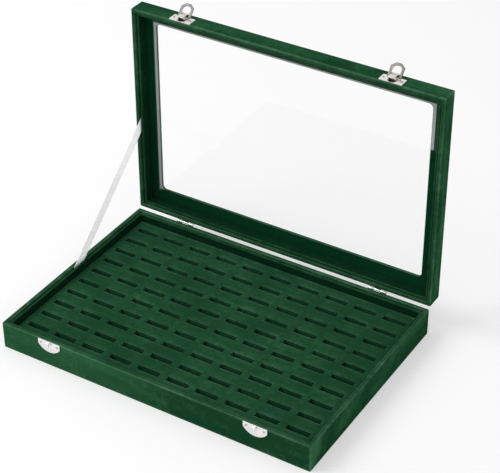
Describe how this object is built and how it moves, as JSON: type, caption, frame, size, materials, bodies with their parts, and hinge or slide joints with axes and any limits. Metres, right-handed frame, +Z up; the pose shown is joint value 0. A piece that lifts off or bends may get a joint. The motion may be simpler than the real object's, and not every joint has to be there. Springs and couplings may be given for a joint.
{
  "type": "ring display tray",
  "caption": "Flat velvet-covered case with a slotted ring pad and a hinged, glazed lid that stands open on a ribbon stay and shuts with toggle latches.",
  "frame": {"origin": "middle of the felt underside, where the tray rests", "axes": "+X to the right along the long side, +Y from the latch side to the hinge side, +Z up"},
  "size_m": [0.35, 0.2626, 0.2816],
  "materials": {
    "board": "bare fibreboard",
    "velvet": "short-pile dark green velvet",
    "felt": "thin dark felt",
    "foam": "soft foam",
    "glass": "clear float glass",
    "nickel": "bright nickel plate",
    "ribbon": "white satin ribbon"
  },
  "bodies": {
    "base": {"base_underside_felt": "felt", "base_floor_panel": "board", "base_front_wall": "board", "base_back_wall": "board", "base_left_wall": "board", "base_right_wall": "board", "base_velvet_wrap": "velvet", "base_front_liner": "velvet", "base_back_liner": "velvet", "base_left_liner": "velvet", "base_right_liner": "velvet", "pad_board": "board", "foam_bar_01": "foam", "foam_bar_02": "foam", "foam_bar_03": "foam", "foam_bar_04": "foam", "foam_bar_05": "foam", "foam_bar_06": "foam", "foam_bar_07": "foam", "foam_bar_08": "foam", "foam_bar_09": "foam", "foam_bar_10": "foam", "foam_bar_11": "foam", "foam_spacers": "foam", "pad_cover": "velvet", "ribbon_stay": "ribbon", "catch_plate_left": "nickel", "hinge_base_leaf_left": "nickel", "hinge_pin_left": "nickel", "catch_plate_right": "nickel", "hinge_base_leaf_right": "nickel", "hinge_pin_right": "nickel", "catch_nails": "nickel", "hinge_base_nails": "nickel"},
    "lid": {"lid_front_rail": "board", "lid_back_rail": "board", "lid_left_rail": "board", "lid_right_rail": "board", "lid_top_frame": "board", "lid_velvet_wrap": "velvet", "glass_pane": "glass", "lid_front_liner": "velvet", "lid_back_liner": "velvet", "lid_left_liner": "velvet", "lid_right_liner": "velvet", "hinge_lid_leaf_left": "nickel", "latch_plate_left": "nickel", "latch_pin_left": "nickel", "hinge_lid_leaf_right": "nickel", "latch_plate_right": "nickel", "latch_pin_right": "nickel", "hinge_lid_nails": "nickel", "latch_nails": "nickel"},
    "lever_left": {"latch_lever_left": "nickel"},
    "loop_left": {"latch_loop_left": "nickel"},
    "lever_right": {"latch_lever_right": "nickel"},
    "loop_right": {"latch_loop_right": "nickel"}
  },
  "joints": [
    {"name": "lid_hinge", "type": "hinge", "parent": "base", "child": "lid", "pos_m": [0, 0.1203, 0.0302], "axis": [-1, 0, 0], "range_deg": [-90, 0], "deforming": ["ribbon_stay"]},
    {"name": "left_lever_pivot", "type": "hinge", "parent": "lid", "child": "lever_left", "pos_m": [-0.117, 0.1251, 0.2723], "axis": [1, 0, 0], "range_deg": [0, 95]},
    {"name": "left_loop_pivot", "type": "hinge", "parent": "lever_left", "child": "loop_left", "pos_m": [-0.117, 0.1299, 0.2715], "axis": [-1, 0, 0], "range_deg": [-135, 47]},
    {"name": "right_lever_pivot", "type": "hinge", "parent": "lid", "child": "lever_right", "pos_m": [0.117, 0.1251, 0.2723], "axis": [1, 0, 0], "range_deg": [0, 95]},
    {"name": "right_loop_pivot", "type": "hinge", "parent": "lever_right", "child": "loop_right", "pos_m": [0.117, 0.1299, 0.2715], "axis": [-1, 0, 0], "range_deg": [-135, 47]}
  ]
}
